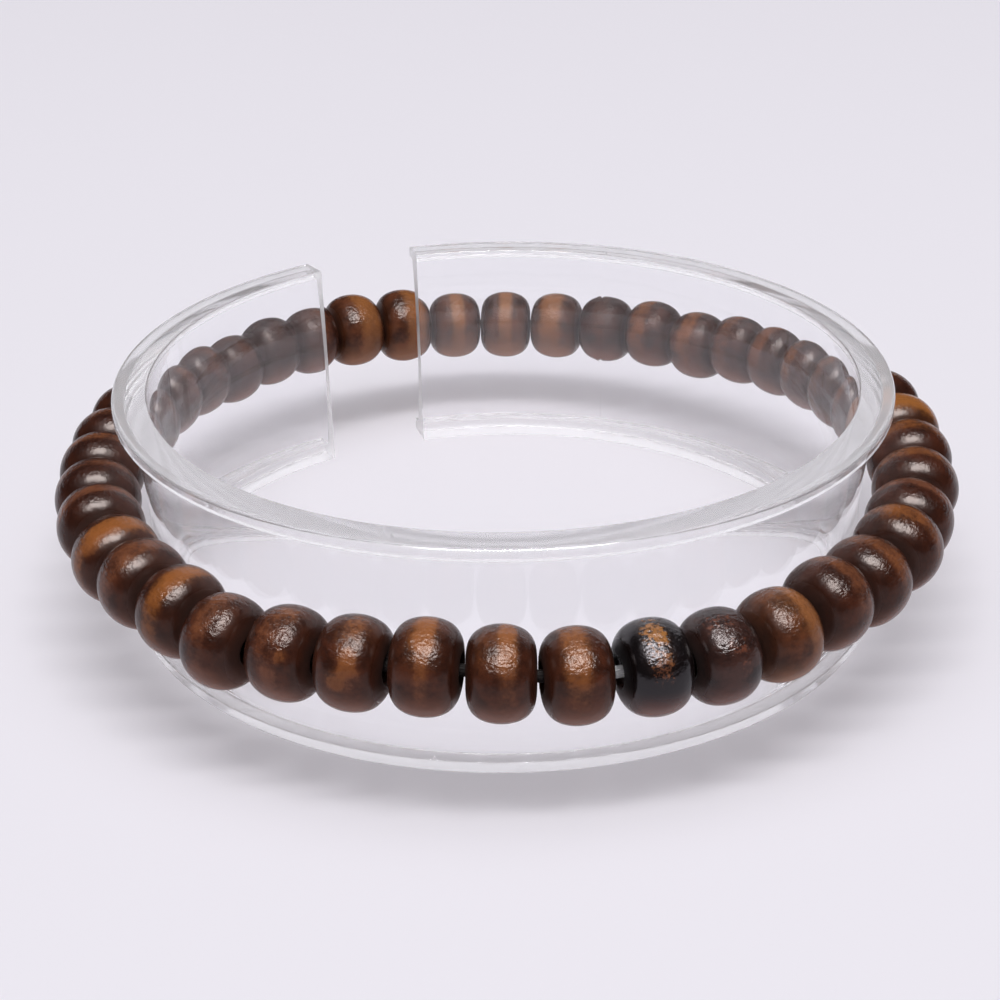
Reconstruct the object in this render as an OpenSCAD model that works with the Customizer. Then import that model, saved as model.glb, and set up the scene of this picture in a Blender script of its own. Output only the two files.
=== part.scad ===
// Beaded bracelet on a clear display ring.
// Barrel-shaped wooden beads are strung on an elastic thread, and the loop is pushed over the
// waist of a clear C-shaped ring that stands on its lower edge, with its axis upright.
// The origin is on the surface that the ring stands on, at its axis. The ring's gap faces +Y.

/* [Beads] */
// Number of beads on the thread
bead_count = 42; // [42:1:44]
// Largest diameter of a bead, at its middle
bead_d = 6.0; // [5.6:0.1:6]
// Play between the ends of two neighbouring beads, measured along the thread
bead_play = 0.19; // [0.19:0.01:0.4]
// Diameter of the hole drilled through each bead
bead_hole_d = 2.0; // [1.4:0.1:2.2]
// How flat a bead's ends are: more is flatter
bead_flatness = 4.2; // [3.4:0.1:4.2]
// How far a bead's shoulders fall away towards its middle: less is squarer
bead_shoulder = 0.47; // [0.47:0.01:0.6]

/* [Loop of the bracelet] */
// Mean radius of the thread's loop
loop_r = 29.9; // [29.9:0.1:31]
// Mean height of the thread above the surface
loop_z = 9.05; // [8.6:0.05:9.5]
// How far the loop is drawn out to an oval, to each side of the mean radius
loop_oval = 0.95; // [0:0.05:0.95]
// How far the loop is drawn out to an egg shape
loop_egg = 0.3; // [0:0.05:0.3]
// How far the whole loop is tipped
loop_tip = 0.5; // [0:0.1:0.6]
// How far the loop rises and falls twice round the ring
loop_saddle = 0.65; // [0:0.05:0.65]
// How far the loop rises and falls three times round the ring
loop_ripple = 0.4; // [0:0.1:0.4]

/* [Elastic thread] */
// Diameter of the elastic thread
thread_d = 0.8; // [0.5:0.1:1]

/* [Display ring] */
// Height of the ring as it stands
ring_h = 16.2; // [15.8:0.1:18]
// Outer radius of the upper lip
lip_r = 27.5; // [27.2:0.1:28]
// Outer radius of the foot
foot_r = 27.1; // [27:0.1:27.5]
// Height of the upper lip and of the foot
lip_h = 0.9; // [0.7:0.1:1.2]
// Outer radius at the waist, where the wall is thinnest
waist_r = 25.6; // [25.4:0.05:25.6]
// Height of the waist above the surface
waist_z = 7.0; // [6:0.1:8]
// How far the wall flares out from the waist up to the lip
waist_flare = 1.0; // [0.8:0.1:1.1]
// Inner radius at the upper edge
bore_top_r = 25.1; // [24.6:0.1:25.2]
// Inner radius at the lower edge
bore_foot_r = 24.3; // [24:0.1:24.5]
// Angle that the gap in the ring takes up
gap_angle = 19; // [16:1:24]

/* [Hidden] */
// Radius that rounds the outer edges of the lip and the foot
edge_r = 0.3;
// Angles at which the oval, the egg shape, the tip, the saddle and the ripple of the loop are highest
oval_at = 68;
egg_at = 66;
tip_at = -99;
saddle_at = -25;
ripple_at = -5;
// Angle of the first bead
first_bead_at = -116;
// Beads that sit a little off the smooth loop, charted by eye: the bead's number, and how far it
// sits along the loop, outwards and up
bead_nudges = [
    [1, 0, 0, 0.25],
    [2, 0.02, 0, 0],
    [3, 0.24, 0, 0],
    [4, 0.24, 0, -0.2],
    [5, 0.22, 0, -0.05],
    [6, 0.2, 0, 0.5],
    [7, 0.18, 0, 0.15],
    [8, 0.16, 0.25, 0.4],
    [9, 0.14, 0, 0],
    [10, 0.12, 0, 0.1],
    [11, 0.1, -0.12, 0],
    [12, 0.08, -0.08, 0],
    [13, 0.06, 0, 0],
    [14, 0.04, 0, 0],
    [15, 0.02, 0, 0],
    [18, 0, 0, -0.4],
    [28, 0, 0, -0.4],
    [31, 0, 0, -0.25],
    [32, 0, -0.1, -0.2],
    [33, 0, -0.15, 0],
    [34, 0, -0.15, 0.1],
    [35, 0, 0, 0.3],
    [37, 0, 0, 0.2],
    [39, 0, 0.5, -0.3],
    [40, 0, 0, -0.1],
    [41, 0, 0, 0.15],
    [42, 0, 0, 0.5],
];
// Steps in which the loop's length is measured, and points along a bead's outline
loop_steps = 360;
outline_steps = 20;
// Sides of the elastic thread
thread_sides = 8;

function bead_name(k) = str("bead_", k < 10 ? "0" : "", k);

// A point of the thread's loop at the angle a about the ring's axis: a circle drawn out to a
// slight oval and egg shape, which rises and falls with a tip, a saddle and a ripple.
function loop_radius(a) = loop_r + loop_oval * cos(2 * (a - oval_at)) + loop_egg * cos(3 * (a - egg_at));
function loop_height(a) = loop_z + loop_tip * cos(a - tip_at)
    + loop_saddle * cos(2 * (a - saddle_at)) + loop_ripple * cos(3 * (a - ripple_at));
function loop_point(a) = [loop_radius(a) * cos(a), loop_radius(a) * sin(a), loop_height(a)];

// Length of the loop from the first bead to each step, paired with the angle there, so that
// looking a length up gives the angle of a bead that lies that far along the thread.
loop_angles = [for (i = [0 : loop_steps]) first_bead_at + i * 360 / loop_steps];
loop_lengths = [for (i = 0, s = 0; i <= loop_steps;
    s = s + norm(loop_point(loop_angles[min(i + 1, loop_steps)]) - loop_point(loop_angles[i])), i = i + 1) s];
angle_at_length = [for (i = [0 : loop_steps]) [loop_lengths[i], loop_angles[i]]];
loop_length = loop_lengths[loop_steps];
bead_pitch = loop_length / bead_count;
bead_l = bead_pitch - bead_play;
function angle_along(s) = lookup(s, angle_at_length);

// How far a bead is nudged outwards and up, as a vector at the angle a, and along the loop
function nudge(k) = let(found = search(k, bead_nudges))
    len(found) > 0 ? bead_nudges[found[0]] : [k, 0, 0, 0];
function aside(k, a) = [nudge(k)[2] * cos(a), nudge(k)[2] * sin(a), nudge(k)[3]];
function bead_angle(k) = angle_along((k - 1) * bead_pitch + nudge(k)[1]);

// A bead's outline, as pairs of radius and place along the hole. It has nearly flat ends that
// round over into the shoulders, and is cut off where it meets the hole.
function outline_x(r) = bead_l / 2 * pow(1 - pow(2 * r / bead_d, bead_flatness), bead_shoulder);
function outline_r(i) = bead_d / 2 * sin(i * 90 / outline_steps)
    + bead_hole_d / 2 * (1 - sin(i * 90 / outline_steps));
bead_outline = concat(
    [for (i = [0 : outline_steps]) [outline_r(i), outline_x(outline_r(i))]],
    [for (i = [outline_steps - 1 : -1 : 0]) [outline_r(i), -outline_x(outline_r(i))]]);

// A bead turned about its hole, threaded at its place on the loop with the hole along the thread
module bead(k) {
    a = bead_angle(k);
    along = loop_point(a + 1) - loop_point(a - 1);
    color("saddlebrown")
    translate(loop_point(a) + aside(k, a))
    rotate([0, acos(along.z / norm(along)), atan2(along.y, along.x)])
    rotate_extrude($fn = 48)
    polygon(bead_outline);
}

// The thread runs through every bead as one closed loop, with a ring of points at each bead's
// middle and at each joint between two beads. It follows the beads' nudges, at a joint by halves.
thread_rings = 2 * bead_count;
function bead_before(i) = floor(i / 2) + 1;
function bead_after(i) = floor((i + 1) / 2) % bead_count + 1;
function thread_ring(i) =
    let(a = angle_along(i * bead_pitch / 2),
        middle = loop_point(a) + (aside(bead_before(i), a) + aside(bead_after(i), a)) / 2,
        along = loop_point(a + 1) - loop_point(a - 1),
        across = cross(along, [0, 0, 1]) / norm(cross(along, [0, 0, 1])),
        upward = cross(across, along) / norm(along))
    [for (j = [0 : thread_sides - 1])
        let(t = j * 360 / thread_sides)
        middle + thread_d / 2 * (across * cos(t) + upward * sin(t))];
thread_points = [for (i = [0 : thread_rings - 1]) each thread_ring(i)];
function thread_index(i, j) = (i % thread_rings) * thread_sides + j % thread_sides;
thread_faces = [for (i = [0 : thread_rings - 1], j = [0 : thread_sides - 1])
    [thread_index(i, j), thread_index(i + 1, j), thread_index(i + 1, j + 1), thread_index(i, j + 1)]];

module elastic_thread() {
    color("whitesmoke")
    polyhedron(thread_points, thread_faces);
}

// The wall's section: a straight drafted bore, a lip and a foot with rounded edges, and between
// them a hollow turned by one arc that is tangent to the waist
flare_z = ring_h - lip_h - waist_z;
hollow_r = (flare_z * flare_z + waist_flare * waist_flare) / (2 * waist_flare);

module wall_block() {
    polygon([
        [bore_foot_r, 0],
        [foot_r - edge_r, 0],
        [foot_r, edge_r],
        [foot_r, ring_h / 2],
        [lip_r, ring_h / 2],
        [lip_r, ring_h - edge_r],
        [lip_r - edge_r, ring_h],
        [bore_top_r, ring_h]
    ]);
}

module wall_section() {
    difference() {
        union() {
            wall_block();
            translate([foot_r - edge_r, edge_r]) circle(edge_r, $fn = 32);
            translate([lip_r - edge_r, ring_h - edge_r]) circle(edge_r, $fn = 32);
        }
        intersection() {
            translate([waist_r + hollow_r, waist_z]) circle(hollow_r, $fn = 256);
            translate([bore_foot_r, lip_h]) square([lip_r, ring_h - 2 * lip_h]);
        }
    }
}

// The clear ring, open at +Y
module display_ring() {
    color("lavender", 0.4)
    rotate([0, 0, 90 + gap_angle / 2])
    rotate_extrude(angle = 360 - gap_angle, $fn = 180)
    wall_section();
}

for (k = [1 : bead_count])
    bead(k);
elastic_thread();
display_ring();
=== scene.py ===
import bpy
import math
import numpy as np
from mathutils import Matrix, Vector


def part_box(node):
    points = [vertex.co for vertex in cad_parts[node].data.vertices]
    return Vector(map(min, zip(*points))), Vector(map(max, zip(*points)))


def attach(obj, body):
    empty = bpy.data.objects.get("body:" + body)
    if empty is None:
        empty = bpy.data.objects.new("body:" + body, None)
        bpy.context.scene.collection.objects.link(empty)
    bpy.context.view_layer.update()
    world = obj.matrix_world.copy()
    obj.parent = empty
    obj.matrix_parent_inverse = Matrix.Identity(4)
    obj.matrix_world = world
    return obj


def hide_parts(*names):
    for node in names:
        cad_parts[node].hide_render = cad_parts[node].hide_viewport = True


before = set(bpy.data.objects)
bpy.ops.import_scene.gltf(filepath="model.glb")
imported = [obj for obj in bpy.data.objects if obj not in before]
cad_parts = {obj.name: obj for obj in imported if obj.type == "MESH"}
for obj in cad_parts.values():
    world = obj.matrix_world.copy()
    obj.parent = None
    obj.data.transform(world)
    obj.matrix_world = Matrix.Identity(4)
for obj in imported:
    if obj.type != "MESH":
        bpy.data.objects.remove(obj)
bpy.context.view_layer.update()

# The view
# The camera stands in front of the ring, 139 mm from its axis and 75 mm above the floor, and looks
# down on the loop. The ring's gap is on the far side, a little to the left.
mm = 0.001
view_turn = math.radians(-25.5)
camera_away = 138.8 * mm
camera_height = 74.7 * mm
camera_down = 0.460234
camera_aside = -0.00215
camera_roll = -0.01085
focal_pixels = 2117
photo_pixels = 1000
sensor_wide = 36
nearest_seen = 1 * mm


def turned_to_view(point):
    """Turns a point given as right, away and up in the photo's view into the part's frame:
    a rotation by view_turn about the upright axis."""
    x, y, z = point
    c, s = math.cos(view_turn), math.sin(view_turn)
    return Vector((c * x - s * y, s * x + c * y, z))


def aimed_camera(name):
    """Camera axes from pitch, yaw and roll: forward = (sin yaw cos pitch, cos yaw cos pitch,
    -sin pitch), right = forward x up, and right and up are then rolled about forward."""
    forward = Vector((math.sin(camera_aside) * math.cos(camera_down),
                      math.cos(camera_aside) * math.cos(camera_down), -math.sin(camera_down)))
    right = forward.cross(Vector((0, 0, 1))).normalized()
    up = right.cross(forward)
    right, up = (right * math.cos(camera_roll) + up * math.sin(camera_roll),
                 up * math.cos(camera_roll) - right * math.sin(camera_roll))
    lens = bpy.data.cameras.new(name)
    lens.sensor_width = sensor_wide
    lens.lens = focal_pixels / photo_pixels * sensor_wide
    lens.clip_start = nearest_seen
    camera = bpy.data.objects.new(name, lens)
    bpy.context.scene.collection.objects.link(camera)
    axes = [turned_to_view(v) for v in (right, up, -forward)]
    place = turned_to_view((0, -camera_away, camera_height))
    camera.matrix_world = Matrix.Translation(place) @ Matrix(axes).transposed().to_4x4()
    return camera


bpy.context.scene.camera = aimed_camera("view_camera")

# Wooden beads
# Small barrels turned from a pale wood and drilled along their middle, stained dark in a drum and
# lacquered. Tumbling has rubbed the stain thin where a bead is widest, so an orange band shows there.
bead_count = 42
bead_across = 6.0 * mm
bead_long = 4.29 * mm
bead_hole = 2.0 * mm
bead_flatness = 4.2
bead_shoulder = 0.47
bead_around = 80
bead_steps = 56
hole_steps = 5
# A turned bead is never quite round, and its belt stands a hair proud over this share of its half.
out_of_round = 0.010
lump_waves = (2, 3, 5)
lump_shares = (1, 1.5, 2)
belt_proud = 0.012 * mm
belt_spread = 0.35

# Each bead's worn belt: where it lies along the hole and how wide it is to each side (shares of half
# the bead), how much of the stain is gone, how orange the wood is, how broken into flecks the edges
# are, and how dark the stain is.
finish_columns = ("belt_at", "belt_width", "rubbed", "orange", "flecked", "dark")
bead_finishes = {
    1: (0.20, 0.26, 0.40, 0.40, 0.15, 0.25),
    2: (-0.12, 0.40, 0.30, 0.50, 0.20, 0.20),
    3: (0.00, 0.30, 0.02, 0.60, 0.75, 1.00),
    4: (0.00, 0.30, 0.03, 0.20, 0.70, 0.20),
    5: (0.42, 0.36, 0.60, 0.30, 0.15, 0.20),
    6: (0.16, 0.34, 0.52, 0.18, 0.15, 0.45),
    7: (0.08, 0.36, 0.58, 0.22, 0.15, 0.50),
    8: (0.05, 0.34, 0.50, 0.30, 0.20, 0.50),
    9: (0.16, 0.28, 0.66, 0.02, 0.10, 0.50),
    10: (0.10, 0.34, 0.58, 0.32, 0.15, 0.35),
    11: (0.05, 0.40, 0.50, 0.48, 0.15, 0.30),
    12: (0.05, 0.60, 0.80, 0.85, 0.15, 0.10),
    17: (0.00, 0.34, 0.50, 0.30, 0.25, 0.20),
    18: (0.00, 0.36, 0.60, 0.45, 0.25, 0.10),
    19: (0.20, 0.40, 0.60, 0.50, 0.25, 0.10),
    20: (0.00, 0.30, 0.30, 0.20, 0.30, 0.75),
    21: (0.10, 0.50, 0.75, 0.50, 0.20, 0.15),
    22: (0.00, 0.30, 0.75, 0.50, 0.15, 0.15),
    23: (0.00, 0.30, 0.75, 0.50, 0.15, 0.15),
    24: (-0.24, 0.44, 0.80, 0.38, 0.15, 0.10),
    25: (-0.24, 0.50, 0.75, 0.40, 0.15, 0.15),
    26: (-0.10, 0.36, 0.40, 0.10, 0.15, 0.30),
    27: (0.00, 0.30, 0.10, 0.10, 0.15, 0.85),
    28: (0.00, 0.34, 0.30, 0.10, 0.15, 0.50),
    29: (0.00, 0.34, 0.35, 0.15, 0.15, 0.40),
    30: (0.00, 0.34, 0.35, 0.15, 0.15, 0.40),
    31: (0.00, 0.30, 0.30, 0.20, 0.15, 0.50),
    32: (0.00, 0.26, 0.40, 0.25, 0.15, 0.60),
    33: (0.02, 0.22, 0.55, 0.18, 0.15, 0.70),
    34: (0.00, 0.22, 0.45, 0.08, 0.15, 0.75),
    35: (0.02, 0.24, 0.70, 0.08, 0.10, 0.70),
    36: (0.22, 0.34, 0.60, 0.65, 0.30, 0.55),
    37: (0.10, 0.40, 0.48, 0.10, 0.15, 0.35),
    38: (0.16, 0.36, 0.60, 0.75, 0.20, 0.50),
    39: (0.02, 0.34, 0.35, 0.16, 0.20, 0.25),
    40: (0.00, 0.40, 0.14, 0.20, 0.30, 0.10),
    41: (0.10, 0.34, 0.18, 0.40, 0.30, 0.15),
    42: (0.06, 0.23, 0.40, 0.45, 0.20, 0.25),
}
# The few beads that hardly show draw each of the six from a range.
usual_finish = ((-0.10, 0.12), (0.24, 0.38), (0.40, 0.70), (0.15, 0.65), (0.10, 0.35), (0.30, 0.70))

# Spots where a bead is rubbed through or crackled: share along the hole, turn in degrees from the
# top outwards, how far it reaches along and round, how much of the stain is gone, how orange.
bead_spots = {
    1: ((0.18, 8, 0.26, 34, 0.45, 0.85), (-0.25, 26, 0.60, 34, 0.26, 0.60),
        (0.15, 48, 0.35, 16, 0.20, 0.60)),
    2: ((-0.16, 20, 0.46, 52, 0.36, 0.80), (-0.16, 64, 0.36, 24, 0.22, 0.55)),
    3: ((-0.15, 14, 0.36, 15, 0.66, 0.80), (-0.06, -12, 0.40, 13, 0.22, 0.80),
        (-0.15, 66, 0.32, 17, 0.42, 0.20), (-0.15, 42, 0.42, 16, 0.34, 0.30)),
    4: ((-0.20, 10, 0.55, 18, 0.40, 0.02), (-0.02, 50, 0.34, 13, 0.36, 0.05),
        (0.10, 78, 0.25, 12, 0.26, 0.05)),
    5: ((0.05, 26, 0.60, 45, 0.26, 0.30), (-0.50, 10, 0.50, 30, 0.12, 0.30)),
    8: ((-0.10, 0, 0.60, 26, 0.30, 0.75),),
    12: ((0.00, 10, 0.90, 60, 0.40, 0.90),),
    36: ((0.35, 8, 0.50, 36, 0.45, 0.85), (0.50, 46, 0.30, 14, 0.45, 0.30)),
    37: ((0.60, 20, 0.30, 30, 0.25, 0.40),),
    38: ((0.35, 6, 0.34, 34, 0.40, 0.95),),
    39: ((0.20, 20, 0.60, 40, 0.22, 0.20), (0.10, 118, 0.80, 22, 0.35, 0.10)),
    40: ((-0.10, 40, 0.55, 50, 0.24, 0.10), (0.47, 62, 0.16, 10, 0.45, 0.60),
         (0.28, 6, 0.45, 16, 0.25, 0.45), (0.18, 96, 0.26, 17, 0.50, 0.20),
         (0.20, 124, 0.34, 14, 0.62, 0.20)),
    41: ((0.20, 12, 0.60, 26, 0.30, 0.55), (0.27, 58, 0.30, 18, 0.48, 0.55),
         (-0.05, 82, 0.30, 13, 0.55, 0.70), (0.45, 80, 0.24, 14, 0.32, 0.25)),
    42: ((0.00, 12, 0.36, 34, 0.55, 0.85), (0.00, 30, 0.70, 40, 0.18, 0.50)),
}

# All beads are stained brown but for one nearly black, one umber and a few tan ones.
unlike_beads = {3: "dark", 4: "umber", 5: "tan", 12: "tan", 21: "tan", 22: "tan", 23: "tan",
                24: "tan", 25: "tan"}


def middle(node_name):
    """The middle of a CAD node's box."""
    low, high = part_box(node_name)
    return np.array((low + high) / 2)


bead_names = [f"bead_{k:02d}" for k in range(1, bead_count + 1)]
bead_middles = np.array([middle(name) for name in bead_names])


def barrel(along, turn, lumps):
    """A barrel about the x axis. Its outline is x = l/2 (1 - (2r/d)^flatness)^shoulder, cut off at
    the hole, and goes back through the hole as a straight line, so the outline closes. The radius
    swells by lump * cos(wave * turn + phase), and away from the belt it is a hair less."""
    hole_r, widest_r, half = bead_hole / 2, bead_across / 2, bead_long / 2
    outer = along < 1
    swing = np.where(outer, along, 1) * math.pi / 2
    r = np.where(outer, hole_r + (widest_r - hole_r) * np.cos(swing), hole_r)
    edge_x = half * (1 - (hole_r / widest_r) ** bead_flatness) ** bead_shoulder
    outline_x = half * np.abs(1 - (r / widest_r) ** bead_flatness) ** bead_shoulder
    x = np.where(outer, np.sign(along) * outline_x, edge_x * (2 - along))
    share = (r - hole_r) / (widest_r - hole_r)
    swell = sum(lump * np.cos(wave * turn + phase) for wave, (lump, phase) in zip(lump_waves, lumps))
    off_belt = 1 - np.exp(-(x / (belt_spread * half)) ** 2)
    r = r * (1 + swell * share) - belt_proud * off_belt * share
    return np.stack([x, r * np.sin(turn), r * np.cos(turn)], -1)


def unit(lines):
    """Lines brought to length 1."""
    return lines / np.linalg.norm(lines, axis=-1, keepdims=True)


def smooth_loop(points, steps, kept=None):
    """The smoothest closed curve through equally spaced points: their Fourier series, read at other
    steps. With kept, only its first few waves are used, so it runs calmly past the points."""
    waves = np.fft.rfft(points, axis=0)[:kept]
    longer = np.zeros((steps // 2 + 1, 3), complex)
    longer[:len(waves)] = waves
    return np.fft.irfft(longer, steps, axis=0) * steps / len(points)


def closed_grid(name, points):
    """A mesh from a grid of points, whose rows and columns both close into rings."""
    rows, columns = points.shape[:2]
    i, j = np.indices((rows, columns))
    i2, j2 = (i + 1) % rows, (j + 1) % columns
    faces = np.stack([i * columns + j, i * columns + j2, i2 * columns + j2, i2 * columns + j], -1)
    mesh = bpy.data.meshes.new(name)
    mesh.from_pydata(points.reshape(-1, 3).tolist(), [], faces.reshape(-1, 4).tolist())
    mesh.update()
    mesh.shade_smooth()
    return mesh


def point_attribute(mesh, name, values):
    """Stores three numbers at each point of a mesh."""
    layer = mesh.attributes.new(name, "FLOAT_VECTOR", "POINT")
    layer.data.foreach_set("vector", np.asarray(values, np.float32).ravel())


def shader(tree, kind, inputs=(), out=0, **settings):
    """Adds one shader node, sets it, fills or joins its inputs, and returns one of its outputs."""
    made = tree.nodes.new("ShaderNode" + kind)
    for key, value in settings.items():
        setattr(made, key, value)
    for key, value in dict(inputs).items():
        if isinstance(value, bpy.types.NodeSocket):
            tree.links.new(value, made.inputs[key])
        else:
            made.inputs[key].default_value = value
    return made.outputs[out]


def noise(tree, place, scale, detail, rough):
    """Cloudy noise, 0 to 1."""
    return shader(tree, "TexNoise", {"Vector": place, "Scale": scale, "Detail": detail,
                                     "Roughness": rough})


def stretched(tree, place, scale):
    """Coordinates scaled differently along each axis."""
    return shader(tree, "Mapping", {"Vector": place, "Scale": scale})


def sums(tree, operation, a, b=0.0):
    """One sum on one or two numbers."""
    return shader(tree, "Math", {0: a, 1: b}, operation=operation)


def plus(tree, a, b):
    """Two numbers added."""
    return sums(tree, "ADD", a, b)


def times(tree, a, b):
    """Two numbers multiplied."""
    return sums(tree, "MULTIPLY", a, b)


def soft_step(tree, value, low, high, to_low=0.0, to_high=1.0):
    """Goes smoothly from to_low to to_high as the value goes from low to high."""
    return shader(tree, "MapRange", {"Value": value, 1: low, 2: high, 3: to_low, 4: to_high},
                  interpolation_type="SMOOTHSTEP")


def mixed(tree, share, a, b):
    """Mixes two colours by a share."""
    return shader(tree, "Mix", {0: share, 6: a, 7: b}, out=2, data_type="RGBA")


def stored_three(tree, name):
    """The three numbers stored at each point under that name, together and one by one."""
    stored = shader(tree, "Attribute", out=1, attribute_name=name)
    parts = tree.nodes.new("ShaderNodeSeparateXYZ")
    tree.links.new(stored, parts.inputs[0])
    return stored, parts.outputs[0], parts.outputs[1], parts.outputs[2]


# Waves to a millimetre of each pattern in the stain and the lacquer, and how high wrinkles stand.
cloud_scale = 0.7
fleck_scale = 3.0
turning_scale = (8, 0.8, 0.8)
wrinkle_scale = (3.0, 4.0, 4.0)
swell_scale = 1.2
speck_scale = 9.0
lacquer_relief = 0.10 * mm


def stained_wood(name, deep, stain, plain_wood, orange_wood, lacquer, shine, gleam, mottle):
    """Stain over pale wood: deep and stain mottle each other by noise, and the wood shows through
    them by the worn share, softly, or in flecks where noise passes a step. Fine lines run round the
    bead from turning. The lacquer is wrinkled by two sizes of noise, and duller in fine specks."""
    finish = bpy.data.materials.new(name)
    finish.use_nodes = True
    tree = finish.node_tree
    bsdf = tree.nodes["Principled BSDF"]
    grain = stored_three(tree, "grain")[0]
    _, worn, orange, flecked = stored_three(tree, "finish")
    _, along, tone, height = stored_three(tree, "place")
    from_middle = sums(tree, "ABSOLUTE", along)
    cloud = noise(tree, grain, cloud_scale, 4, 0.6)
    flecks = noise(tree, grain, fleck_scale, 4, 0.66)
    turning = noise(tree, stretched(tree, grain, turning_scale), 1.0, 3, 0.6)

    # How far the stain is rubbed through: in patches and crumbled at their edges, and the wood shows
    # fainter towards the bottom.
    crumble = plus(tree, times(tree, flecked, 2.2), 0.35)
    crumble = times(tree, crumble, soft_step(tree, worn, 0.0, 0.3))
    patchy = times(tree, worn, soft_step(tree, cloud, 0.32, 0.66, 1 - mottle, 1 + 0.6 * mottle))
    wear = plus(tree, patchy, times(tree, sums(tree, "SUBTRACT", flecks, 0.5), crumble))
    softly = soft_step(tree, wear, -0.05, 1.05)
    in_flecks = soft_step(tree, wear, 0.30, 0.62)
    through = shader(tree, "Mix", {0: flecked, 2: softly, 3: in_flecks}, data_type="FLOAT")
    through = times(tree, through, soft_step(tree, height, -0.3, 0.9, 0.50, 1.0))

    # Colours: the stain, the wood under it, and over both a painted glow of floor light on the
    # underside and ends darkened, part by darker stain and part by painted shade where beads meet.
    stain_colour = mixed(tree, soft_step(tree, cloud, 0.33, 0.66), deep, stain)
    stain_colour = mixed(tree, times(tree, tone, 0.8), stain_colour, deep)
    # Painted light: the top of each bead is drawn more orange, where the light from above falls.
    orange_and_top_light = plus(tree, orange, times(tree, height, 0.26))
    orange_and_top_light = plus(tree, orange_and_top_light, times(tree, sums(tree, "SUBTRACT", cloud, 0.5), 2.5 * mottle))
    wood_colour = mixed(tree, soft_step(tree, orange_and_top_light, 0.0, 1.0), plain_wood, orange_wood)
    turned_lines = soft_step(tree, turning, 0.50, 0.70, 0.0, 0.22)
    wood_colour = mixed(tree, turned_lines, wood_colour, stain)
    colour = mixed(tree, through, stain_colour, wood_colour)
    # Painted light: the lower half is drawn paler, as the light thrown up from the floor.
    floor_light_below = soft_step(tree, height, -0.72, 0.02, 0.96, 0.0)
    colour = mixed(tree, floor_light_below, colour, plain_wood)
    # The ends are darker: part darker stain, part painted shade where the beads meet.
    ends_stain_and_shade = soft_step(tree, from_middle, 0.45, 1.0, 0.0, 0.70)
    colour = mixed(tree, ends_stain_and_shade, colour, deep)
    tree.links.new(colour, bsdf.inputs["Base Color"])

    # Gloss: crackled on top and where the stain is worn in flecks, speckled, and dull at the ends.
    wrinkles = noise(tree, stretched(tree, grain, wrinkle_scale), 1.0, 3, 0.55)
    swells = noise(tree, grain, swell_scale, 2, 0.5)
    specks = noise(tree, grain, speck_scale, 3, 0.6)
    on_belt = soft_step(tree, from_middle, 0.42, 0.82, 1.0, 0.0)
    crackled = times(tree, soft_step(tree, height, 0.2, 0.72), on_belt)
    crackled = plus(tree, times(tree, crackled, 0.9), 0.08)
    worn_flecks = times(tree, soft_step(tree, worn, 0.1, 0.8, 0.0, 0.2), flecked)
    crackled = plus(tree, crackled, worn_flecks)
    dull = soft_step(tree, specks, 0.3, 0.7, lacquer + 0.01, lacquer + 0.04)
    gloss = sums(tree, "SUBTRACT", dull, times(tree, crackled, 0.13))
    gloss = plus(tree, gloss, soft_step(tree, from_middle, 0.85, 1.0, 0.0, 0.35))
    tree.links.new(gloss, bsdf.inputs["Roughness"])
    relief = times(tree, plus(tree, wrinkles, times(tree, specks, 0.08)), crackled)
    relief = plus(tree, relief, times(tree, swells, 0.40))
    relief = plus(tree, relief, times(tree, turning, 0.02))
    bump = shader(tree, "Bump", {"Height": relief, "Strength": 1.0, "Distance": lacquer_relief})
    tree.links.new(bump, bsdf.inputs["Normal"])
    bsdf.inputs["Specular IOR Level"].default_value = shine
    bsdf.inputs["Specular Tint"].default_value = gleam
    return finish


wood_shades = {
    "brown": dict(deep=(0.026, 0.0074, 0.0040, 1), stain=(0.080, 0.0225, 0.0105, 1),
                  plain_wood=(0.174, 0.064, 0.037, 1), orange_wood=(0.280, 0.094, 0.023, 1),
                  lacquer=0.24, shine=0.26, gleam=(1.0, 0.90, 0.86, 1), mottle=0.25),
    "dark": dict(deep=(0.0028, 0.0019, 0.0021, 1), stain=(0.015, 0.0078, 0.0074, 1),
                 plain_wood=(0.15, 0.050, 0.030, 1), orange_wood=(0.36, 0.145, 0.032, 1),
                 lacquer=0.16, shine=0.42, gleam=(1.0, 0.95, 1.0, 1), mottle=0.25),
    "umber": dict(deep=(0.0125, 0.0056, 0.0045, 1), stain=(0.056, 0.0225, 0.0165, 1),
                  plain_wood=(0.14, 0.046, 0.028, 1), orange_wood=(0.26, 0.085, 0.026, 1),
                  lacquer=0.20, shine=0.34, gleam=(1.0, 0.93, 0.93, 1), mottle=0.25),
    "tan": dict(deep=(0.033, 0.0100, 0.0047, 1), stain=(0.122, 0.038, 0.0160, 1),
                plain_wood=(0.250, 0.102, 0.048, 1), orange_wood=(0.310, 0.112, 0.026, 1),
                lacquer=0.24, shine=0.26, gleam=(1.0, 0.90, 0.86, 1), mottle=0.12),
}
wood_finishes = {kind: stained_wood(f"stained_wood_{kind}", **shade)
                 for kind, shade in wood_shades.items()}

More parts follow.
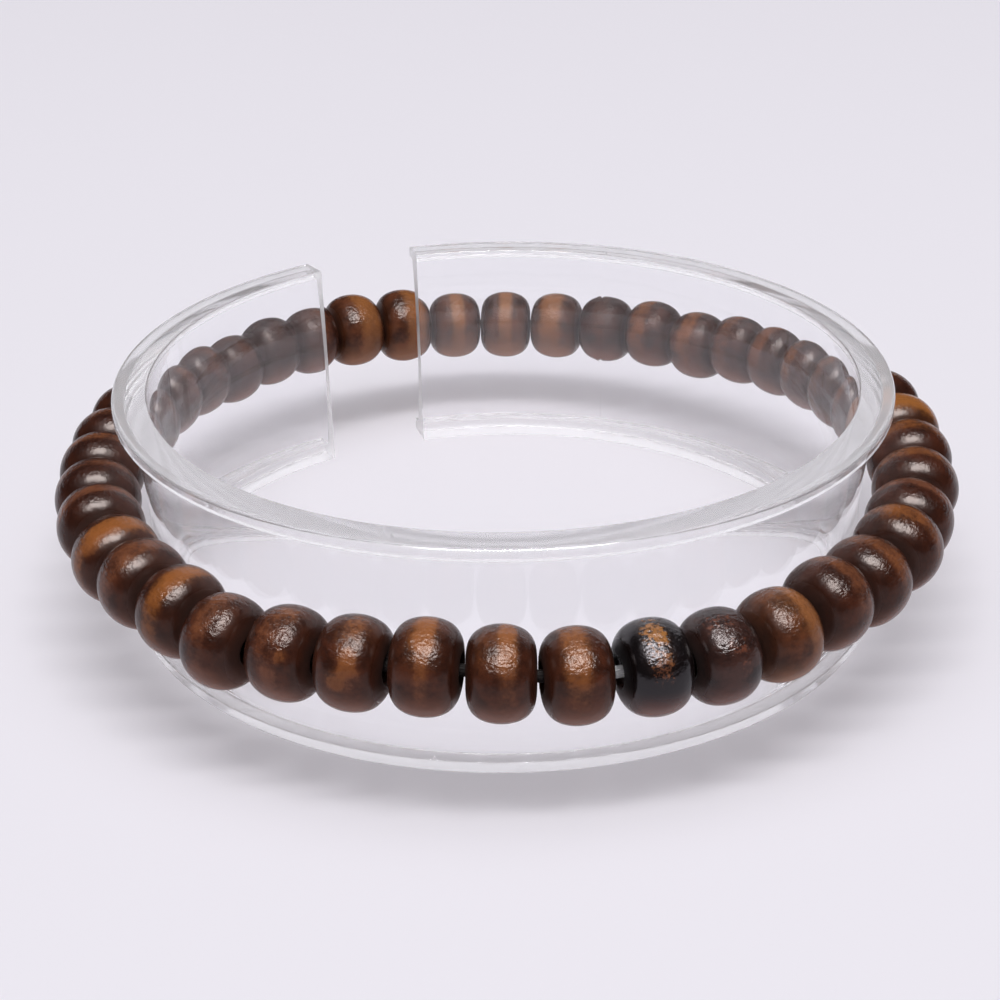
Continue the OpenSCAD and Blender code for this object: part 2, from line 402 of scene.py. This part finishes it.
# Each bead's hole points along a calmer loop, which runs past the middles instead of through them.
luck_seed = 7
calm_waves = 5
phase_most = 6.28
grain_shift_most = 90
hardly_worn = 0.01
bead_luck = np.random.default_rng(luck_seed)
calm_loop = smooth_loop(bead_middles, bead_count, calm_waves)
along_grid, turn_grid = np.meshgrid(
    np.concatenate([np.linspace(-1, 1, bead_steps + 1), np.linspace(1, 3, hole_steps + 1)[1:-1]]),
    np.linspace(0, 2 * math.pi, bead_around, endpoint=False), indexing="ij")
for number, (node_name, centre) in enumerate(zip(bead_names, bead_middles), start=1):
    lumps = [(out_of_round * bead_luck.uniform(0.2, 1) / share, bead_luck.uniform(0, phase_most))
             for share in lump_shares]
    local = barrel(along_grid, turn_grid, lumps)
    onward = unit(calm_loop[number % bead_count] - calm_loop[number - 2])
    outward = unit(np.cross(onward, (0, 0, 1)))
    axes = np.stack([onward, outward, np.cross(outward, onward)])
    mesh = closed_grid(f"wood_{node_name}", centre + local @ axes)

    drawn = [bead_luck.uniform(low, high) for low, high in usual_finish]
    row = dict(zip(finish_columns, bead_finishes.get(number, drawn)))
    grain_shift = bead_luck.uniform(0, grain_shift_most, 3)
    along = local[..., 0] / (bead_long / 2)
    height = local[..., 2] / bead_across * 2
    belt = row["rubbed"] * np.exp(-(np.abs(along - row["belt_at"]) / row["belt_width"]) ** 4)
    worn, orange = belt, belt * row["orange"]
    for at, turned, reach, spread, gone, how_orange in bead_spots.get(number, ()):
        away = (np.degrees(turn_grid) - turned + 180) % 360 - 180
        spot = gone * np.exp(-((along - at) / reach) ** 4 - (away / spread) ** 4)
        worn, orange = worn + spot, orange + spot * how_orange
    flecked, dark = np.full_like(belt, row["flecked"]), np.full_like(belt, row["dark"])
    point_attribute(mesh, "grain", local / mm + grain_shift)
    point_attribute(mesh, "finish", np.stack([worn, orange / (worn + hardly_worn), flecked], -1))
    point_attribute(mesh, "place", np.stack([along, dark, height], -1))

    bead = bpy.data.objects.new(f"wood_{node_name}", mesh)
    bpy.context.scene.collection.objects.link(bead)
    mesh.materials.append(wood_finishes[unlike_beads.get(number, "brown")])
    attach(bead, "root")
    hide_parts(node_name)

# Elastic thread
# One closed loop of clear stretch cord of 0.8 mm, drawn from fine rubber strands, threaded through
# every bead and knotted inside one of them. It shows where two beads stand a little apart.
thread_across = 0.8 * mm
thread_around = 16
thread_strands = 9
strand_relief = 0.02 * mm
rubber_cloudy = (0.58, 0.57, 0.58, 1)
rubber_pale = (0.80, 0.79, 0.80, 1)
rubber_in_joint_shade = (0.012, 0.006, 0.005, 1)
rubber_bends_light = 1.43
rubber_shine = 0.2
dust_scale = 40
dust_a_step = 0.05
steps_a_bead = 6
# The joint between bead_02 and bead_03 stands open. The cord is painted dark as shade inside the tight
# joints, all but about that far round the open one.
open_joint = 1.5 * steps_a_bead
unshaded_reach = 2.5


def tube(line, radius, around):
    """A tube round a closed line: each point's ring is radius * (cos t across + sin t upward)."""
    onward = np.roll(line, -1, axis=0) - np.roll(line, 1, axis=0)
    across = unit(np.cross(onward, (0, 0, 1)))
    upward = unit(np.cross(across, onward))
    t = np.linspace(0, 2 * math.pi, around, endpoint=False)[None, :, None]
    return line[:, None] + radius * (np.cos(t) * across[:, None] + np.sin(t) * upward[:, None])


def stretch_rubber(name):
    """Clear rubber, a little cloudy, ribbed by its strands: a sine round the cord. Inside the tight
    joints it is painted dark as shade, and there it is also dull and no light passes."""
    rubber = bpy.data.materials.new(name)
    rubber.use_nodes = True
    tree = rubber.node_tree
    bsdf = tree.nodes["Principled BSDF"]
    stored, _, around, joint_shaded = stored_three(tree, "strand")
    ribs = sums(tree, "SINE", times(tree, around, thread_strands * 2 * math.pi))
    dusty = noise(tree, stored, dust_scale, 3, 0.6)
    colour = mixed(tree, dusty, rubber_cloudy, rubber_pale)
    # Painted shade: inside the tight joints the cord takes a dark colour.
    colour = mixed(tree, joint_shaded, colour, rubber_in_joint_shade)
    tree.links.new(colour, bsdf.inputs["Base Color"])
    gloss = soft_step(tree, dusty, 0.3, 0.7, 0.12, 0.28)
    gloss = plus(tree, gloss, times(tree, joint_shaded, 0.45))
    tree.links.new(gloss, bsdf.inputs["Roughness"])
    clear = soft_step(tree, joint_shaded, 0.0, 1.0, 0.55, 0.0)
    tree.links.new(clear, bsdf.inputs["Transmission Weight"])
    bump = shader(tree, "Bump", {"Height": ribs, "Strength": 0.5, "Distance": strand_relief})
    tree.links.new(bump, bsdf.inputs["Normal"])
    bsdf.inputs["IOR"].default_value = rubber_bends_light
    bsdf.inputs["Specular IOR Level"].default_value = rubber_shine
    return rubber


# The rings of points run backwards, so that the faces point outwards.
thread_steps = bead_count * steps_a_bead
thread_line = smooth_loop(bead_middles, thread_steps)
thread_points = tube(thread_line, thread_across / 2, thread_around)[:, ::-1]
thread_mesh = closed_grid("stretch_thread", thread_points)
step, side = np.indices((thread_steps, thread_around))
# Painted shade: the cord is drawn dark in the tight joints, all but near the open one.
joint_shade_on_cord = 1 - np.exp(-((step - open_joint) / unshaded_reach) ** 4)
strand = np.stack([step * dust_a_step, side / thread_around, joint_shade_on_cord], -1)
point_attribute(thread_mesh, "strand", strand)
thread_mesh.materials.append(stretch_rubber("clear_elastic"))
thread = bpy.data.objects.new("stretch_thread", thread_mesh)
bpy.context.scene.collection.objects.link(thread)
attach(thread, "root")
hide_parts("elastic_thread")

# Display ring
# A C-shaped ring moulded from clear acrylic: a drafted bore, a lip and a foot, and a hollow between
# them that holds the bracelet. It is sawn through at the gap, and the mould has left two fine seams.
ring_high = 16.2 * mm
lip_out = 27.5 * mm
foot_out = 27.1 * mm
edge_high = 0.9 * mm
waist_out = 25.6 * mm
waist_high = 7.0 * mm
waist_flare = 1.0 * mm
bore_top = 25.1 * mm
bore_foot = 24.3 * mm
gap_middle = 90
gap_angle = 19
round_edge = 0.3 * mm
fine_edge = 0.10 * mm
edge_points = 7
flat_start = 0.02 * mm
hollow_steps = 72
ring_steps = 468
crease_angle = 35
# The mould's seams and their width, in degrees about the axis. The wall runs from 99.5 to 440.5.
seam_angles = (226.0, 406.0)
seam_proud = 0.03 * mm
seam_width = 0.35
seam_steps = 12
seam_from = 25.3 * mm
seam_rise = 0.2 * mm
seam_fall = 0.1 * mm


def rounded(corners, radii):
    """Rounds the corners of a closed outline that have a radius. Each gets an arc that touches both
    its sides, and a point just before and after it, so that the flats stay flat when shaded."""
    back = unit(np.roll(corners, 1, axis=0) - corners)[radii > 0]
    on = unit(np.roll(corners, -1, axis=0) - corners)[radii > 0]
    corner, r = corners[radii > 0], radii[radii > 0, None]
    half = np.arccos((back * on).sum(-1, keepdims=True)) / 2
    reach = r / np.tan(half)
    centre = corner + unit(back + on) * r / np.sin(half)
    start, end = corner + back * reach - centre, corner + on * reach - centre
    sweep = (math.pi - 2 * half)[:, None]
    share = np.linspace(0, 1, edge_points)[:, None]
    arc = start[:, None] * np.sin((1 - share) * sweep) + end[:, None] * np.sin(share * sweep)
    first, last = corner + back * (reach + flat_start), corner + on * (reach + flat_start)
    points = np.repeat(corners[:, None], edge_points + 2, axis=1)
    points[radii > 0] = np.concatenate(
        [first[:, None], centre[:, None] + arc / np.sin(sweep), last[:, None]], axis=1)
    kept = np.zeros(points.shape[:2], bool)
    kept[:, 0] = True
    kept[radii > 0] = True
    return points[kept]


def hollow(z):
    """Radius of the hollow at a height z: one arc of radius R that touches the waist, so it is
    waist + R - sqrt(R^2 - (z - height of the waist)^2)."""
    rise = ring_high - edge_high - waist_high
    arc_r = (rise ** 2 + waist_flare ** 2) / (2 * waist_flare)
    return waist_out + arc_r - np.sqrt(arc_r ** 2 - (z - waist_high) ** 2)


hollow_z = np.linspace(edge_high, ring_high - edge_high, hollow_steps + 1)
ring_corners = np.array([
    (bore_foot, 0), (foot_out, 0), (foot_out, edge_high),
    *zip(hollow(hollow_z), hollow_z),
    (lip_out, ring_high - edge_high), (lip_out, ring_high), (bore_top, ring_high)])
corner_radii = np.array([fine_edge, round_edge, fine_edge, fine_edge, *[0] * (hollow_steps - 1),
                         fine_edge, fine_edge, round_edge, fine_edge])
wall = rounded(ring_corners, corner_radii)
even_angles = gap_middle + np.linspace(gap_angle / 2, 360 - gap_angle / 2, ring_steps + 1)
fine_steps = np.linspace(-2, 2, seam_steps + 1) * seam_width
ring_angles = np.sort(np.concatenate([even_angles, *[a + fine_steps for a in seam_angles]]))


def swept_wall(section, angles):
    """The section turned about the upright axis through those angles. At the mould's seams it stands
    proud by a bell curve of the angle, but not at the bore or at the lip's outermost edge."""
    r, z = section[:, 0][None], section[:, 1][None]
    seams = sum(np.exp(-((angles - a) / seam_width) ** 2) for a in seam_angles)[:, None]
    off_bore = np.clip((r - seam_from) / seam_rise, 0, 1)
    off_lip = np.clip((lip_out - seam_fall - r) / seam_fall, 0, 1)
    r = r + seams * off_bore * off_lip * seam_proud
    t = np.radians(angles)[:, None]
    return np.stack(np.broadcast_arrays(r * np.cos(t), r * np.sin(t), z), -1)


ring_points = swept_wall(wall, ring_angles)
rows, columns = ring_points.shape[:2]
i, j = np.indices((rows - 1, columns))
j2 = (j + 1) % columns
wall_faces = np.stack([i * columns + j, (i + 1) * columns + j,
                       (i + 1) * columns + j2, i * columns + j2], -1).reshape(-1, 4)
one_end = np.arange(columns)
other_end = ((rows - 1) * columns + one_end)[::-1]
ring_mesh = bpy.data.meshes.new("clear_ring")
ring_mesh.from_pydata(ring_points.reshape(-1, 3).tolist(), [],
                      wall_faces.tolist() + [one_end.tolist(), other_end.tolist()])
ring_mesh.update()
ring_mesh.shade_smooth()
ring_mesh.set_sharp_from_angle(angle=math.radians(crease_angle))

# The lip and the foot are a little milky, and the two sawn ends are rough.
rim_reach = 1.2 * edge_high
lowest = np.minimum(wall[:, 1], np.roll(wall[:, 1], -1))
highest = np.maximum(wall[:, 1], np.roll(wall[:, 1], -1))
is_rim = (lowest > ring_high - rim_reach) | (highest < rim_reach)
ring_finish = np.append(np.tile(np.where(is_rim, 1, 0), rows - 1), (2, 2)).astype(np.int32)
ring_mesh.polygons.foreach_set("material_index", ring_finish)

# Waves to a metre of the smears, and how much rougher they are
smear_scale = (260, 260, 90)
smeared_by = 2.2
acrylic_bends_light = 1.49


def clear_plastic(name, roughness, ripple, ripple_scale, clearness, paleness):
    """Clear acrylic, a trace milky, with faint ripples from moulding or sawing in its surface, and
    smears of noise, drawn out upwards, that make it up to smeared_by times as rough."""
    plastic = bpy.data.materials.new(name)
    plastic.use_nodes = True
    tree = plastic.node_tree
    bsdf = tree.nodes["Principled BSDF"]
    place = shader(tree, "TexCoord", out=3)
    waves = noise(tree, place, ripple_scale, 3, 0.5)
    smears = noise(tree, stretched(tree, place, smear_scale), 1.0, 4, 0.6)
    smeared = soft_step(tree, smears, 0.35, 0.75, roughness, roughness * smeared_by)
    tree.links.new(smeared, bsdf.inputs["Roughness"])
    bump = shader(tree, "Bump", {"Height": waves, "Strength": 1.0, "Distance": ripple})
    tree.links.new(bump, bsdf.inputs["Normal"])
    bsdf.inputs["Base Color"].default_value = (paleness, paleness, paleness + 0.01, 1)
    bsdf.inputs["Transmission Weight"].default_value = clearness
    bsdf.inputs["IOR"].default_value = acrylic_bends_light
    return plastic


ring_mesh.materials.append(clear_plastic("clear_acrylic", roughness=0.015, ripple=0.02 * mm,
                                         ripple_scale=160, clearness=0.99, paleness=0.99))
ring_mesh.materials.append(clear_plastic("rim_acrylic", roughness=0.03, ripple=0.02 * mm,
                                         ripple_scale=160, clearness=0.74, paleness=0.95))
ring_mesh.materials.append(clear_plastic("sawn_acrylic", roughness=0.28, ripple=0.03 * mm,
                                         ripple_scale=2500, clearness=0.70, paleness=0.90))
ring = bpy.data.objects.new("clear_ring", ring_mesh)
bpy.context.scene.collection.objects.link(ring)
# Clear plastic lets nearly all the light pass, so it casts no shadow and takes no bounced light.
ring.visible_shadow = False
ring.visible_diffuse = False
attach(ring, "root")
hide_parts("display_ring")

# Floor and light
# A plain pale lavender sheet a hair under the ring, lit a little from below as a light table is, with
# soft lamps above it on the near side and a patch of even light round them.
floor_half = 6.0
floor_level = -0.05 * mm
floor_colour = (0.58, 0.566, 0.60, 1)
floor_glow = (0.95, 0.925, 0.985, 1)
glow_strength = 0.27
floor_roughness = 0.8
floor_shine = 0.1
floor_mesh = bpy.data.meshes.new("pale_floor")
floor_mesh.from_pydata([(-floor_half, -floor_half, floor_level), (floor_half, -floor_half, floor_level),
                        (floor_half, floor_half, floor_level), (-floor_half, floor_half, floor_level)],
                       [], [(0, 1, 2, 3)])
floor_paint = bpy.data.materials.new("pale_floor")
floor_paint.use_nodes = True
floor_bsdf = floor_paint.node_tree.nodes["Principled BSDF"]
floor_bsdf.inputs["Base Color"].default_value = floor_colour
floor_bsdf.inputs["Emission Color"].default_value = floor_glow
floor_bsdf.inputs["Emission Strength"].default_value = glow_strength
floor_bsdf.inputs["Roughness"].default_value = floor_roughness
floor_bsdf.inputs["Specular IOR Level"].default_value = floor_shine
floor_mesh.materials.append(floor_paint)
floor = bpy.data.objects.new("pale_floor", floor_mesh)
bpy.context.scene.collection.objects.link(floor)

# The even light leans to the near side with the lamp, and fades towards the horizon. What the
# clear plastic gathers comes from pale walls all round.
sky_tint = (0.94, 0.92, 0.97)
sky_bright = 1.64
sky_dim = 0.07
sky_patch_edge = 0.60
sky_lean = (0, -0.28, 1)
walls_bright = 1.06
sky = bpy.data.worlds.new("studio")
sky.use_nodes = True
air = sky.node_tree
way = shader(air, "TexCoord", out=0)
overhead = tuple(turned_to_view(sky_lean).normalized())
rise = shader(air, "VectorMath", {0: way, 1: overhead}, out=1, operation="DOT_PRODUCT")
level = soft_step(air, rise, sky_patch_edge, 1.0, sky_dim, sky_bright)
light_path = air.nodes.new("ShaderNodeLightPath")
no_bounce = sums(air, "LESS_THAN", light_path.outputs["Diffuse Depth"], 0.5)
through_plastic = times(air, light_path.outputs["Is Transmission Ray"], no_bounce)
level = shader(air, "Mix", {0: through_plastic, 2: level, 3: walls_bright}, data_type="FLOAT")
air.nodes["Background"].inputs[0].default_value = (*sky_tint, 1)
air.links.new(level, air.nodes["Background"].inputs[1])
bpy.context.scene.world = sky


def soft_lamp(name, place, across, deep, watts):
    """A rectangular lamp at a place in the view, aimed at the ring."""
    light = bpy.data.lights.new(name, "AREA")
    light.shape = "RECTANGLE"
    light.size = across
    light.size_y = deep
    light.energy = watts
    lamp = bpy.data.objects.new(name, light)
    bpy.context.scene.collection.objects.link(lamp)
    lamp.location = turned_to_view(place)
    lamp.rotation_euler = (-lamp.location).to_track_quat("-Z", "Y").to_euler()
    return lamp


# A strip lamp gives the shadows, and a broad lamp only the gleams on the lacquer.
shadow_lamp = soft_lamp("shadow_lamp", place=(0.02, -0.22, 0.77), across=0.60, deep=0.12, watts=3.0)
shadow_lamp.visible_glossy = False
gleam_lamp = soft_lamp("gleam_lamp", place=(0.02, -0.33, 0.73), across=0.56, deep=0.38, watts=16.3)
gleam_lamp.visible_diffuse = False
gleam_lamp.visible_transmission = False

# Colours come out as they are, and light may pass through the plastic as often as it needs to.
bpy.context.scene.view_settings.view_transform = "Standard"
bpy.context.scene.cycles.max_bounces = 32
bpy.context.scene.cycles.transmission_bounces = 32
bpy.context.scene.cycles.glossy_bounces = 16
